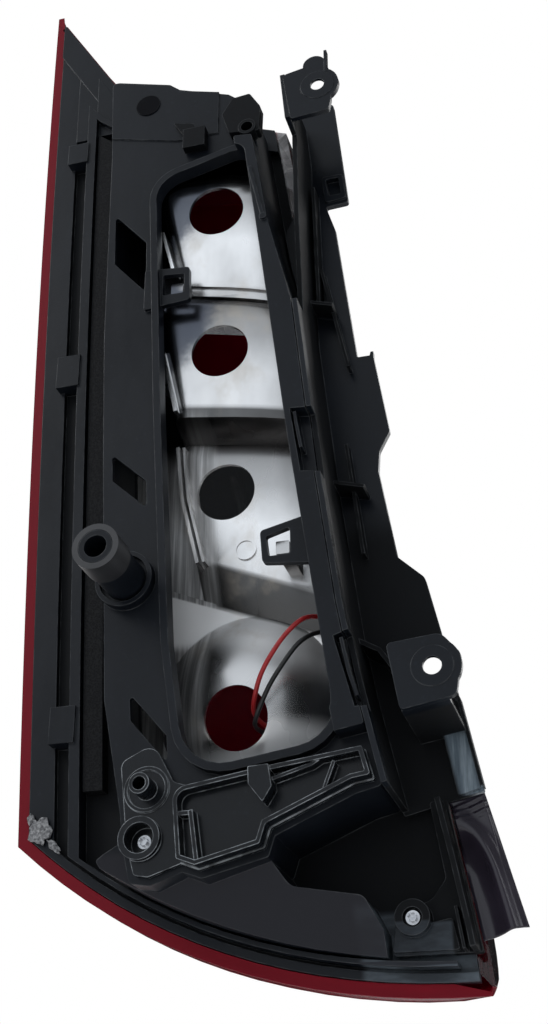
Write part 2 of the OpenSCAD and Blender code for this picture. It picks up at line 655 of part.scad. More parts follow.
function outer_point(i, j) =
    let (a = along(left_path, left_place(i)), b = along(right_path, right_place(i)), p = a + front_x[j] * (b - a))
    [p[0], rim_y + rise(i) * front_y[j], p[1]];
function inner_point(i, j) =
    let (rim = j == 0 || j == cols, l = left_place(i), r = right_place(i))
    let (a = along(left_path, l), b = along(right_path, r), q = min(1, 0.35 * norm(b - a) / (rim ? rim_w : lens_t)))
    let (c = a + q * (along(rim ? left_path_in : left_path_thin, l) - a))
    let (d = b + q * (along(rim ? right_path_in : right_path_thin, r) - b), p = c + front_x[j] * (d - c))
    let (h = rise(i) * front_y[j])
    [p[0], rim_y + (rim ? 0 : max(0.3 * h, h - lens_t)), p[1]];

function is_clear(i, j) = (i >= top_rows && j >= cols - 2) || (i >= 20 && i < 33 && j >= 4);
function picked(i, j, want) = i >= 0 && i < rows && j >= 0 && j < cols && is_clear(i, j) == want;

// The cells of the lens shell whose colour is asked for, closed along every cut.
module lens_part(want) {
    w = cols + 1;
    m = (rows + 1) * w;
    points = concat([for (i = [0:rows]) for (j = [0:cols]) outer_point(i, j)],
        [for (i = [0:rows]) for (j = [0:cols]) inner_point(i, j)]);
    faces = [for (i = [0:rows - 1]) for (j = [0:cols - 1]) if (picked(i, j, want))
        let (a = i * w + j, b = a + 1, c = a + w + 1, d = a + w)
        each concat([[a, b, c], [a, c, d], [m + a, m + c, m + b], [m + a, m + d, m + c]],
            picked(i - 1, j, want) ? [] : [[a, m + a, m + b], [a, m + b, b]],
            picked(i + 1, j, want) ? [] : [[d, c, m + c], [d, m + c, m + d]],
            picked(i, j - 1, want) ? [] : [[a, d, m + d], [a, m + d, m + a]],
            picked(i, j + 1, want) ? [] : [[b, m + b, m + c], [b, m + c, c]])];
    polyhedron(points = points, faces = faces, convexity = 8);
}

module red_lens() {
    color([0.6, 0.02, 0.05])
    lens_part(false);
}

module clear_lens() {
    color([0.85, 0.87, 0.9])
    lens_part(true);
}

module sealant_bead() {
    color([0.8, 0.8, 0.78])
    slab(base_front, base_front + 2)
        difference() {
            inset_lens(8, 8, 8, 8);
            inset_lens(10.4, 10.4, 10.4, 10.4);
        }
}

module body_seal() {
    color([0.03, 0.03, 0.035])
    slab(rib_y + 1.5, base_y)
        intersection() {
            difference() {
                inset_lens(31.5, 20, -1, 30);
                inset_lens(31.5 + seal_w, 20, -1, 30);
            }
            polygon([[-230, 372], [-100, 372], [-100, -24], [-230, -24]]);
        }
}

// Skirt of the flap between an inner and an outer row of points.
flap_rows = 12;
function flap_point(u, v, less) =
    let (t = v / flap_rows, x0 = -3.2 + 10.2 * t, x1 = 11.2 + 13.5 * t)
    let (x = x0 + (x1 - x0) * u, z = -41.9 - 54.6 * t + u * (2.9 + 1.4 * t))
    let (y = 43 - 7 * sin(180 * min(1, 0.1 + 0.9 * t)) * sin(180 * (0.12 + 0.88 * u)) + (t < 0.25 ? 1.2 * sin(1440 * t) : 0))
    [x, y + less, z];

module corner_flap() {
    n = 8;
    w = n + 1;
    m = (flap_rows + 1) * w;
    points = concat([for (v = [0:flap_rows]) for (k = [0:n]) flap_point(k / n, v, 0)],
        [for (v = [0:flap_rows]) for (k = [0:n]) flap_point(k / n, v, flap_t)]);
    cells = [for (v = [0:flap_rows - 1]) for (k = [0:n - 1]) let (a = v * w + k)
        each [[a, a + 1, a + w + 1], [a, a + w + 1, a + w], [m + a, m + a + w + 1, m + a + 1], [m + a, m + a + w, m + a + w + 1]]];
    ends = [for (k = [0:n - 1]) let (b = flap_rows * w + k)
        each [[k, m + k, m + k + 1], [k, m + k + 1, k + 1], [b, b + 1, m + b + 1], [b, m + b + 1, m + b]]];
    sides = [for (v = [0:flap_rows - 1]) let (a = v * w, b = v * w + n)
        each [[a, a + w, m + a + w], [a, m + a + w, m + a], [b, m + b, m + b + w], [b, m + b + w, b + w]]];
    color([0.09, 0.08, 0.085])
    polyhedron(points = points, faces = concat(cells, ends, sides), convexity = 4);
}

module peg_bush() {
    color([0.16, 0.16, 0.165])
    difference() {
        disc(peg_at, peg_d + 2 * bush_t, -peg_out, -peg_out + bush_l);
        disc(peg_at, peg_d + 2 * fit, -peg_out - 1, -peg_out + bush_l + 1);
    }
}

module breather_cap() {
    color([0.02, 0.02, 0.03])
    union() {
        disc(breather_at, breather_d, panel_y - 1.3, panel_y - 0.8);
        disc(breather_at, breather_d - 4 - 2 * fit, panel_y - 1, panel_y + wall);
    }
}

module top_retainer() {
    color([0.04, 0.04, 0.045])
    difference() {
        union() {
            slab(6, panel_y)
                shape([[-92.5, 309, 1], [-87, 318.5, 1.5], [-78, 319.5, 1.5], [-72.5, 310, 1], [-73, 294.5, 1], [-88.6, 296.5, 1]]);
            disc([-78.9, 297], 9, 4.5, panel_y);
            disc(retainer_at, 5 - 2 * fit, panel_y - eps, panel_y + wall);
        }
        disc([-78.9, 297], 6, 3, panel_y - 2);
    }
}

module lead_clip() {
    color([0.03, 0.03, 0.035])
    union() {
        block(-113, -101.5, 6.5, panel_y - 0.8, 293, 305);
        slab(8, panel_y - 0.8)
            shape([[-119, 312, 0.5], [-108, 309, 0.5], [-106, 304], [-113, 302]]);
        disc(lead_clip_at, 5 - 2 * fit, panel_y - 1, panel_y + wall);
    }
}

module screw(at, y, l) {
    color([0.62, 0.63, 0.65])
    difference() {
        union() {
            disc(at, head_d, y - 1.6, y);
            disc(at, head_d - 2, y - 3.4, y - 1.5);
            disc(at, screw_d - 2 * fit, y - eps, y + l);
        }
        slab(y - 4, y - 1.8)
            polygon([for (k = [0:11]) let (r = k % 2 == 0 ? 2 : 1.4) [at[0] + r * cos(30 * k), at[1] + r * sin(30 * k)]]);
    }
}

module screw_left() {
    screw(screw_left_at, screw_left_y, 13);
}

module screw_right() {
    screw(screw_right_at, screw_right_y + 1, 18);
}

// Lead through a row of points with an eight-sided section.
function lead_axis(p, k) = unit(p[min(k + 1, len(p) - 1)] - p[max(k - 1, 0)]);
module lead(p, d) {
    n = 8;
    ring = [for (k = [0:len(p) - 1]) let (t = lead_axis(p, k), a = unit(cross(t, [0.3, 1, 0.2])), b = cross(t, a))
        for (s = [0:n - 1]) p[k] + d / 2 * (cos(360 * s / n) * a + sin(360 * s / n) * b)];
    last = (len(p) - 1) * n;
    polyhedron(points = ring, convexity = 4, faces = concat(
        [[for (s = [n - 1:-1:0]) s], [for (s = [0:n - 1]) last + s]],
        [for (k = [0:len(p) - 2]) for (s = [0:n - 1]) let (a = k * n + s, b = k * n + (s + 1) % n)
            each [[a, b, b + n], [a, b + n, a + n]]]));
}

function smooth(p, n) = [for (i = [0:len(p) - 2]) let (a = p[max(i - 1, 0)], b = p[i], c = p[i + 1], d = p[min(i + 2, len(p) - 1)])
    for (k = [0:n - (i == len(p) - 2 ? 0 : 1)]) let (t = k / n)
        0.5 * (2 * b + (c - a) * t + (2 * a - 5 * b + 4 * c - d) * t * t + (3 * b - a - 3 * c + d) * t * t * t)];
red_route = [[-42.45, 19.5, 35], [-44, 19.5, 35], [-45.5, 19.5, 35], [-49.5, 17.5, 34], [-52.5, 12.5, 32], [-56, 8, 28],
    [-62.5, 6.5, 20.5], [-70, 8, 10], [-74.5, 12, 2], [-78, 21, -4], [-75.5, 30, -7], [-73, 34, -7], [-73, 35.2, -7],
    [-73, 36.45, -7]];
black_route = [[-42.45, 23, 30], [-44, 23, 30], [-45.5, 23, 30], [-49.5, 21, 28.5], [-53.5, 16, 25], [-58.5, 12.5, 19],
    [-67.5, 12, 6], [-73.5, 15.5, -3], [-77.8, 21.5, -8.6], [-77.6, 29, -9.2], [-74.2, 34.2, -10.4], [-74.2, 35.3, -10.4],
    [-74.2, 36.45, -10.4]];

module red_wire() {
    color([0.6, 0.05, 0.05])
    lead(smooth(red_route, 4), wire_d);
}

module black_wire() {
    color([0.03, 0.03, 0.03])
    lead(smooth(black_route, 4), wire_d);
}

module wire_grommet() {
    color([0.05, 0.05, 0.05])
    slab(17, 26)
        intersection() {
            shape(grown(box, -wall));
            polygon([[-42.45, 27], [-38, 27], [-38, 38], [-42.45, 38]]);
        }
}

module wire_terminal() {
    color([0.05, 0.05, 0.055])
    block(-76, -65, 36.5, 44.5, -14, -4);
}

housing();
side_rail();
lower_bracket();
red_lens();
clear_lens();
reflector();
sealant_bead();
body_seal();
corner_flap();
peg_bush();
breather_cap();
top_retainer();
lead_clip();
screw_left();
screw_right();
red_wire();
black_wire();
wire_grommet();
wire_terminal();
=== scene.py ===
import math
import random
import bmesh
import bpy
from mathutils import Matrix, Vector


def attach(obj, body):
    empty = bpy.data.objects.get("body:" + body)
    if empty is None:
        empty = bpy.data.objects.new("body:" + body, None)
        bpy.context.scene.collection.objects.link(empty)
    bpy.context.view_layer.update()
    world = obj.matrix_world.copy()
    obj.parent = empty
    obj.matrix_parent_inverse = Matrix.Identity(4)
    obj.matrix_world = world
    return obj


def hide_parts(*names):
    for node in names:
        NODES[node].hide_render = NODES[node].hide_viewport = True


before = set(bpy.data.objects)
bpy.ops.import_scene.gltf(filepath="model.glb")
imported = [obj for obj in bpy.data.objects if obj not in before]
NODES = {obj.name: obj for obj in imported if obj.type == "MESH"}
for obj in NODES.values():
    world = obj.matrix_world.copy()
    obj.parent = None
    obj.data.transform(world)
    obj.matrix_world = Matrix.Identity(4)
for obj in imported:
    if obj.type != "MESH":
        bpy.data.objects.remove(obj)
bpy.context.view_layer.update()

MM = 0.001

# ---------------------------------------------------------------- camera
AZIMUTH, ELEVATION = math.radians(16), math.radians(-28)
FOCUS_PX, LONG_PX, SENSOR = 1500.0, 1024.0, 36.0
TARGET = Vector((-0.07065, 0.025, 0.09005))
DISTANCE = 0.66

RIGHT = Vector((math.cos(AZIMUTH), math.sin(AZIMUTH), 0))
BACK = Vector((
    math.sin(AZIMUTH) * math.cos(ELEVATION),
    -math.cos(AZIMUTH) * math.cos(ELEVATION),
    math.sin(ELEVATION)))
UP = BACK.cross(RIGHT)
EYE = TARGET + DISTANCE * BACK

camera_data = bpy.data.cameras.new("camera")
camera_data.sensor_width = SENSOR
camera_data.lens = FOCUS_PX / LONG_PX * SENSOR
camera_data.clip_start = 0.01
camera = bpy.data.objects.new("camera", camera_data)
camera.matrix_world = Matrix((
    (RIGHT.x, UP.x, BACK.x, EYE.x),
    (RIGHT.y, UP.y, BACK.y, EYE.y),
    (RIGHT.z, UP.z, BACK.z, EYE.z),
    (0, 0, 0, 1)))
bpy.context.scene.collection.objects.link(camera)
bpy.context.scene.camera = camera
bpy.context.scene.view_settings.view_transform = "Standard"


# ---------------------------------------------------------------- materials
class Shade:
    """A node material under construction."""

    SOCKETS = {
        "color": "Base Color", "rough": "Roughness", "metal": "Metallic", "ior": "IOR",
        "spec": "Specular IOR Level", "trans": "Transmission Weight", "normal": "Normal"}

    def __init__(self, name):
        self.mat = bpy.data.materials.new(name)
        self.mat.use_nodes = True
        self.tree = self.mat.node_tree
        self.bsdf = self.tree.nodes["Principled BSDF"]
        self.coords = self.tree.nodes.new("ShaderNodeTexCoord")

    def new(self, kind, **values):
        node = self.tree.nodes.new(kind)
        for key, value in values.items():
            setattr(node, key, value)
        return node

    def link(self, a, b):
        self.tree.links.new(a, b)

    def feed(self, value, socket):
        """Put a number, a colour or another node's output into a socket."""
        if isinstance(value, tuple):
            socket.default_value = (*value, 1)
        elif isinstance(value, (int, float)):
            socket.default_value = value
        else:
            self.link(value, socket)

    def noise(self, scale, detail=4.0, rough=0.55, stretch=None):
        node = self.new("ShaderNodeTexNoise")
        node.inputs["Scale"].default_value = scale
        node.inputs["Detail"].default_value = detail
        node.inputs["Roughness"].default_value = rough
        where = self.coords.outputs["Object"]
        if stretch:
            mapping = self.new("ShaderNodeMapping")
            mapping.inputs["Scale"].default_value = stretch
            self.link(where, mapping.inputs["Vector"])
            where = mapping.outputs["Vector"]
        self.link(where, node.inputs["Vector"])
        return node.outputs["Fac"]

    def ramp(self, fac, stops):
        node = self.new("ShaderNodeValToRGB")
        elements = node.color_ramp.elements
        while len(elements) < len(stops):
            elements.new(0.5)
        for element, (at, colour) in zip(elements, stops):
            element.position = at
            element.color = (*colour, 1)
        self.link(fac, node.inputs["Fac"])
        return node.outputs["Color"]

    def grey_ramp(self, fac, stops):
        return self.ramp(fac, [(at, (v, v, v)) for at, v in stops])

    def math(self, operation, a, b=None):
        node = self.new("ShaderNodeMath", operation=operation)
        self.feed(a, node.inputs[0])
        if b is not None:
            self.feed(b, node.inputs[1])
        return node.outputs[0]

    def sum(self, a, b):
        return self.math("ADD", a, b)

    def times(self, *values):
        """The product of two or more values."""
        product = values[0]
        for value in values[1:]:
            product = self.math("MULTIPLY", product, value)
        return product

    def largest(self, a, b):
        return self.math("MAXIMUM", a, b)

    def without(self, value):
        """What a share leaves of 1."""
        return self.math("SUBTRACT", 1.0, value)

    def mix(self, fac, a, b, blend="MIX"):
        node = self.new("ShaderNodeMix", data_type="RGBA", blend_type=blend)
        for index, value in ((0, fac), (6, a), (7, b)):
            self.feed(value, node.inputs[index])
        return node.outputs[2]

    def bump(self, height, strength, distance, normal=None):
        node = self.new("ShaderNodeBump")
        node.inputs["Strength"].default_value = strength
        node.inputs["Distance"].default_value = distance
        self.link(height, node.inputs["Height"])
        if normal is not None:
            self.link(normal, node.inputs["Normal"])
        return node.outputs["Normal"]

    def spread(self, value, low, high, to_low=0.0, to_high=1.0):
        """A value carried from one range to another, held at its ends."""
        node = self.new("ShaderNodeMapRange", interpolation_type="SMOOTHSTEP")
        for key, number in (("From Min", low), ("From Max", high), ("To Min", to_low), ("To Max", to_high)):
            node.inputs[key].default_value = number
        self.link(value, node.inputs["Value"])
        return node.outputs["Result"]

    def place(self):
        """X, Y and Z of the shaded point in the object's frame, in metres."""
        node = self.new("ShaderNodeSeparateXYZ")
        self.link(self.coords.outputs["Object"], node.inputs["Vector"])
        return node.outputs["X"], node.outputs["Y"], node.outputs["Z"]

    def rounded(self, radius, samples):
        """A bevel node, which gives the normal of the shape with its edges rounded."""
        node = self.new("ShaderNodeBevel", samples=samples)
        node.inputs["Radius"].default_value = radius
        return node

    def edges(self, radius, low, high):
        """1 along the edges of the shape, 0 on its faces."""
        bevel = self.rounded(radius, 8)
        geometry = self.new("ShaderNodeNewGeometry")
        dot = self.new("ShaderNodeVectorMath", operation="DOT_PRODUCT")
        self.link(bevel.outputs["Normal"], dot.inputs[0])
        self.link(geometry.outputs["Normal"], dot.inputs[1])
        return self.spread(self.without(dot.outputs["Value"]), low, high)

    def set(self, **values):
        for key, value in values.items():
            self.feed(value, self.bsdf.inputs[self.SOCKETS[key]])


# Radius that moulded edges are rounded to, and the wider one along which edges are painted lighter as a painted
# highlight.
EDGE_RADIUS, EDGE_HIGHLIGHT_RADIUS = 0.5 * MM, 0.9 * MM


def moulded(name, dark, light, rough, grain=0.3, spec=0.2, edge=0.7, edge_gain=5.0, painted_light_and_dull=None):
    """Injection-moulded black plastic: flow tint, spark-eroded grain, dust, and a painted highlight, edges painted
    lighter in patches.
    """
    s = Shade(name)
    flow = s.noise(22, 6, 0.65, (1, 1, 0.4))
    spots = s.noise(160, 3, 0.5)
    dust = s.noise(420, 4, 0.65)
    colour = s.ramp(flow, [(0.3, dark), (0.75, light)])
    dusty = tuple(c * 2.2 + 0.004 for c in light)
    colour = s.mix(s.times(s.spread(dust, 0.55, 0.78), 0.35), colour, dusty)
    shade_and_dull = None
    # The given function paints shade and sheen by position, and tells where the plastic is dull.
    if painted_light_and_dull:
        colour, shade_and_dull = painted_light_and_dull(s, colour)
    # Painted highlight: the edges are painted lighter in patches and made glossier.
    edge_highlight = s.times(s.edges(EDGE_HIGHLIGHT_RADIUS, 0.01, 0.2), s.grey_ramp(spots, [(0.4, 0.2), (0.6, 1.0)]))
    level = sum(light) / 3 * edge_gain + 0.05
    colour = s.mix(s.times(edge_highlight, edge), colour, (level * 0.94, level, level * 1.05))
    roughness = s.grey_ramp(flow, [(0.3, rough - 0.1), (0.7, rough + 0.12)])
    roughness = s.mix(s.times(edge_highlight, 0.6), roughness, (rough * 0.6,) * 3)
    if shade_and_dull:
        roughness = s.mix(shade_and_dull, roughness, (0.7,) * 3)
    sink = s.bump(s.noise(55, 3, 0.5), 0.12, 1.2 * MM)
    normal = s.bump(s.noise(2600, 2, 0.5), grain, 0.06 * MM, sink)
    bevel = s.rounded(EDGE_RADIUS, 6)
    s.link(normal, bevel.inputs["Normal"])
    s.set(color=colour, rough=roughness, normal=bevel.outputs["Normal"], spec=spec)
    return s.mat


# Painted shade: the colour painted where the plastic lies deep and is also dull, and how far it takes over there.
PAINTED_SHADE_COLOUR, PAINTED_SHADE_SHARE = (0.0006, 0.0009, 0.0014), 0.8

# In the functions below, the bounds given to spread() for x, y and z are metres in the part's frame.
# The rail leans to the left by this much of its height.
RAIL_LEAN = 0.195

# The sloping plate along the bottom lies in the plane y + PLATE_SLOPE * z + PLATE_OFFSET = 0.
PLATE_SLOPE, PLATE_OFFSET = 0.593, 0.0214


def rail_face(s, colour):
    """The rail: painted shade down its deep wall and on its deep face lower down, where it is also dull; a painted
    sheen in patches on its foot and in pale streaks on its face below the lower lug.
    """
    x, y, z = s.place()
    across = s.sum(x, s.times(z, RAIL_LEAN))
    band = s.times(s.spread(across, -0.0072, -0.0048), s.spread(across, 0.0045, 0.003))
    reach = s.times(s.spread(z, -0.0398, -0.0385), s.spread(z, -0.010, -0.016))
    face = s.spread(y, 0.0395, 0.0405)
    sheen_band = s.times(band, reach)
    # Painted shade on the deep face lower down and down the deep wall, where the plastic is also dull.
    beside = s.times(face, s.spread(z, 0.1, 0.075), s.without(sheen_band))
    deep = s.times(s.spread(y, 0.0418, 0.0405), s.spread(y, 0.006, 0.012))
    foot = s.times(s.spread(z, -0.0882, -0.0895), s.spread(x, -0.0035, -0.005))
    shade_and_dull = s.times(s.largest(deep, beside), s.without(foot))
    colour = s.mix(s.times(shade_and_dull, PAINTED_SHADE_SHARE), colour, PAINTED_SHADE_COLOUR)
    # A painted sheen in patches on the foot.
    patchy_sheen = s.spread(s.noise(40, 4, 0.6, (1, 1, 3)), 0.35, 0.65, 0.15, 0.7)
    colour = s.mix(s.times(foot, patchy_sheen), colour, (0.05, 0.062, 0.075))
    # A painted sheen in pale bluish streaks on the face below the lower lug.
    streak = s.noise(60, 5, 0.6, (6, 1, 0.5))
    streaked_sheen = s.ramp(streak, [(0.3, (0.06, 0.08, 0.1)), (0.5, (0.14, 0.18, 0.215)), (0.75, (0.34, 0.4, 0.44))])
    return s.mix(s.times(sheen_band, face), colour, streaked_sheen), shade_and_dull


def housing_face(s, colour):
    """The housing: painted shade in its deep floors, where it is also dull, a painted sheen on the ledge, and paler on
    the sloping plate along the bottom.
    """
    x, y, z = s.place()
    # Painted shade in the deep floors, which are also made dull.
    floors = s.times(s.spread(y, 0.0455, 0.0475), s.spread(y, 0.0495, 0.0485))
    ledge = s.times(s.spread(x, -0.042, -0.038), s.spread(z, -0.081, -0.085))
    shade_and_dull = s.times(floors, s.without(ledge))
    colour = s.mix(s.times(shade_and_dull, PAINTED_SHADE_SHARE), colour, PAINTED_SHADE_COLOUR)
    # A painted sheen in patches on the ledge.
    patchy_sheen = s.spread(s.noise(40, 4, 0.6, (0.8, 1, 3)), 0.35, 0.65, 0.25, 1.0)
    colour = s.mix(s.times(ledge, patchy_sheen), colour, (0.1, 0.12, 0.14))
    off = s.math("ABSOLUTE", s.sum(s.sum(y, s.times(z, PLATE_SLOPE)), PLATE_OFFSET))
    plate = s.times(s.spread(off, 0.9 * MM, 0.6 * MM), s.spread(z, -0.058, -0.062))
    return s.mix(s.times(plate, 0.9), colour, (0.014, 0.0145, 0.0195)), shade_and_dull


def rubber(name, dark, light, rough):
    """Soft rubber or sealant with a fine grain, in two tones."""
    s = Shade(name)
    patch = s.noise(30, 5, 0.6)
    s.set(
        color=s.ramp(patch, [(0.3, dark), (0.75, light)]),
        rough=s.grey_ramp(patch, [(0.3, rough - 0.06), (0.8, rough + 0.08)]),
        normal=s.bump(s.noise(1500, 3, 0.6), 0.35, 0.08 * MM), spec=0.5)
    return s.mat


def clear_plastic(name):
    """Clear lens plastic with a slight haze."""
    s = Shade(name)
    haze = s.noise(60, 4, 0.6)
    s.set(
        color=(0.93, 0.94, 0.95), rough=s.grey_ramp(haze, [(0.3, 0.04), (0.8, 0.09)]),
        trans=1.0, ior=1.49, spec=0.5)
    return s.mat


def red_plastic(name):
    """Red lens with an uncoloured strip at the upper right, smeared with glue and painted over at its top."""
    s = Shade(name)
    x, y, z = s.place()
    right = s.times(s.spread(x, -0.078, -0.074), s.spread(z, 0.215, 0.225))
    smear = s.noise(90, 5, 0.6, (1, 1, 0.6))
    strip = s.ramp(smear, [(0.3, (0.16, 0.15, 0.15)), (0.55, (0.5, 0.48, 0.48)), (0.75, (0.75, 0.73, 0.73))])
    strip = s.mix(s.spread(z, 0.272, 0.256), strip, (0.006, 0.006, 0.008))
    colour = s.mix(right, (0.27, 0.0, 0.012), strip)
    rim = s.spread(y, 0.0485, 0.047)
    colour = s.mix(s.times(rim, s.without(right)), colour, (0.3, 0.0, 0.014))
    polish = s.grey_ramp(s.noise(60, 4, 0.6), [(0.3, 0.12), (0.8, 0.18)])
    s.set(
        color=colour, rough=s.mix(rim, polish, (0.6, 0.6, 0.6)), ior=1.4, spec=0.02,
        trans=s.math("SUBTRACT", 0.5, s.times(right, 0.5)))
    return s.mat


# Painted light and shade in bands: heights of the steps of the reflector in mm, each with the share of light painted
# there.
LIGHT_SHADE_BANDS = [
    (-45, 0.8), (-22, 1.0), (10, 0.7), (30, 0.75), (38, 1.0), (50.5, 1.0), (52, 0.1), (69, 0.13),
    (70.5, 0.9), (93, 1.0), (112, 0.5), (126, 0.36), (133, 0.16), (144.5, 0.16), (146, 1.0), (163, 1.0),
    (184, 0.5), (201, 0.4), (204, 0.8), (211, 0.8), (213, 1.0), (240, 1.0), (262, 0.55), (290, 0.3)]
LIGHT_SHADE_LOW, LIGHT_SHADE_HIGH = -0.05, 0.31

# Painted highlights along the two short ribs at the left of the reflector: a point on each in X and Z, how far it
# leans, and its reach in Z.
RIB_HIGHLIGHTS = [
    (-0.1255, 0.2503, 0.257, 0.224, 0.252),
    (-0.124, 0.181, 0.224, 0.145, 0.182)]


def chrome(name):
    """Vacuum-metallised plastic with painted light and shade: brightest under each bulb hole, dimmer at the tops,
    painted shade on the steps between chambers.
    """
    s = Shade(name)
    x, y, z = s.place()
    # The steps between the chambers slope down to the right, the lowest most.
    tilt = s.spread(z, 0.07, 0.12, 0.4, 0.167)
    height = s.sum(z, s.times(tilt, s.sum(x, 0.09)))
    # Painted light and shade in bands by height, darkest on the steps between chambers.
    level = s.new("ShaderNodeMapRange")
    level.inputs["From Min"].default_value = LIGHT_SHADE_LOW
    level.inputs["From Max"].default_value = LIGHT_SHADE_HIGH
    s.link(height, level.inputs["Value"])
    span = LIGHT_SHADE_HIGH - LIGHT_SHADE_LOW
    band_light_shade = s.grey_ramp(level.outputs["Result"], [((h / 1000 - LIGHT_SHADE_LOW) / span, v) for h, v in LIGHT_SHADE_BANDS])
    # The left side of the two lower chambers is painted darker in streaks, a painted shade.
    aside = s.times(s.spread(x, -0.099, -0.106), s.spread(z, 0.15, 0.13))
    streaks = s.grey_ramp(s.noise(9, 4, 0.65, (40, 1, 1.2)), [(0.38, 0.45), (0.62, 1.0)])
    band_light_shade = s.mix(aside, band_light_shade, streaks)
    cloud = s.noise(20, 4, 0.5, (1, 1, 0.5))
    stain = s.noise(34, 5, 0.6, (1, 1, 0.7))
    silver = s.ramp(cloud, [(0.36, (0.6, 0.595, 0.59)), (0.56, (0.99, 0.985, 0.98))])
    metal = s.mix(1.0, silver, band_light_shade, "MULTIPLY")
    metal = s.mix(s.times(s.spread(stain, 0.52, 0.72), 0.4), metal, (0.5, 0.43, 0.34))
    # Painted shade, dark and bluish, creeps in from the left side of the two upper chambers, further at their tops.
    painted_left_shade = s.sum(x, s.times(s.noise(45, 5, 0.65), 0.03))
    upper = s.spread(z, 0.235, 0.275, 0.0, 0.02)
    middle = s.times(s.spread(z, 0.16, 0.202, 0.0, 0.022), s.spread(z, 0.212, 0.208))
    painted_left_shade = s.math("SUBTRACT", painted_left_shade, s.largest(upper, middle))
    painted_left_shade = s.times(s.spread(painted_left_shade, -0.094, -0.108), s.spread(z, 0.14, 0.15))
    metal = s.mix(s.times(painted_left_shade, 0.85), metal, (0.06, 0.072, 0.1))
    # Each rib gets a painted highlight, a bright line over the painted shade.
    for rib_x, rib_z, lean, bottom, top in RIB_HIGHLIGHTS:
        along = s.sum(x, s.times(s.math("SUBTRACT", z, rib_z), lean))
        off = s.math("ABSOLUTE", s.math("SUBTRACT", along, rib_x))
        reach = s.times(s.spread(z, bottom - 0.001, bottom), s.spread(z, top + 0.001, top))
        metal = s.mix(s.times(s.spread(off, 1.6 * MM, 1 * MM), reach), metal, (0.97, 0.97, 0.97))
    # Painted shade: faces that look down are painted dark, except in the bowl.
    split = s.new("ShaderNodeSeparateXYZ")
    s.link(s.new("ShaderNodeNewGeometry").outputs["Normal"], split.inputs["Vector"])
    down = s.grey_ramp(s.times(split.outputs["Z"], -1.0), [(0.5, 0.0), (0.95, 1.0)])
    colour = s.mix(s.times(down, s.spread(z, 0.03, 0.06, 0.0, 0.8)), metal, (0.09, 0.085, 0.085))
    # Below and right of the lowest hole, and on the flat left above it, the metal is painted white and less metallic, a
    # painted reflection.
    low = s.sum(z, s.spread(x, -0.078, -0.072, 0.0, -0.012))
    corner = s.times(s.spread(z, 0.036, 0.042), s.spread(x, -0.09, -0.1))
    flat = s.times(s.spread(y, 0.0435, 0.0445), corner)
    white_reflection = s.largest(s.spread(low, -0.012, -0.022), s.times(flat, s.spread(height, 0.0512, 0.0502)))
    colour = s.mix(white_reflection, colour, (0.96, 0.96, 0.96))
    matt = s.times(s.spread(height, 0.022, 0.036), s.spread(height, 0.053, 0.051))
    rough = s.grey_ramp(cloud, [(0.2, 0.2), (0.8, 0.32)])
    rough = s.mix(s.largest(matt, aside), rough, (0.55, 0.55, 0.55))
    waves = s.sum(s.times(s.noise(38, 2, 0.5), 0.7), s.times(s.noise(130, 2, 0.5), 0.08))
    s.set(color=colour, metal=s.without(s.times(white_reflection, 0.85)), rough=rough, normal=s.bump(waves, 0.16, 0.8 * MM))
    return s.mat


def screw_metal(name):
    """Plated steel, worn unevenly."""
    s = Shade(name)
    wear = s.noise(500, 4, 0.6)
    s.set(
        color=s.ramp(wear, [(0.3, (0.42, 0.43, 0.45)), (0.7, (0.72, 0.73, 0.75))]), metal=1.0,
        rough=s.grey_ramp(wear, [(0.3, 0.22), (0.75, 0.42)]))
    return s.mat


def insulation(name, colour):
    """Wire insulation with a little dust."""
    s = Shade(name)
    dust = s.noise(300, 4, 0.6)
    light = tuple(min(1, c * 1.5 + 0.01) for c in colour)
    s.set(
        color=s.ramp(dust, [(0.35, colour), (0.8, light)]),
        rough=s.grey_ramp(dust, [(0.3, 0.32), (0.8, 0.5)]), spec=0.5)
    return s.mat


def foam(name):
    """Closed-cell foam with a closed, slightly dusty skin."""
    s = Shade(name)
    voronoi = s.new("ShaderNodeTexVoronoi")
    voronoi.inputs["Scale"].default_value = 1400
    s.link(s.coords.outputs["Object"], voronoi.inputs["Vector"])
    cells = voronoi.outputs["Distance"]
    s.set(
        color=s.ramp(cells, [(0.1, (0.0035, 0.0037, 0.0045)), (0.7, (0.008, 0.0085, 0.0095))]),
        rough=s.grey_ramp(cells, [(0.1, 0.8), (0.8, 0.6)]),
        normal=s.bump(cells, 0.35, 0.12 * MM), spec=0.12)
    return s.mat


def adhesive(name):
    """Dried, crumbly adhesive in dark and pale grey."""
    s = Shade(name)
    crumbs = s.noise(700, 5, 0.65)
    s.set(
        color=s.ramp(crumbs, [(0.35, (0.05, 0.05, 0.055)), (0.52, (0.22, 0.22, 0.225)), (0.75, (0.55, 0.55, 0.55))]),
        rough=s.grey_ramp(crumbs, [(0.3, 0.75), (0.8, 0.45)]), normal=s.bump(crumbs, 0.6, 0.6 * MM), spec=0.3)
    return s.mat


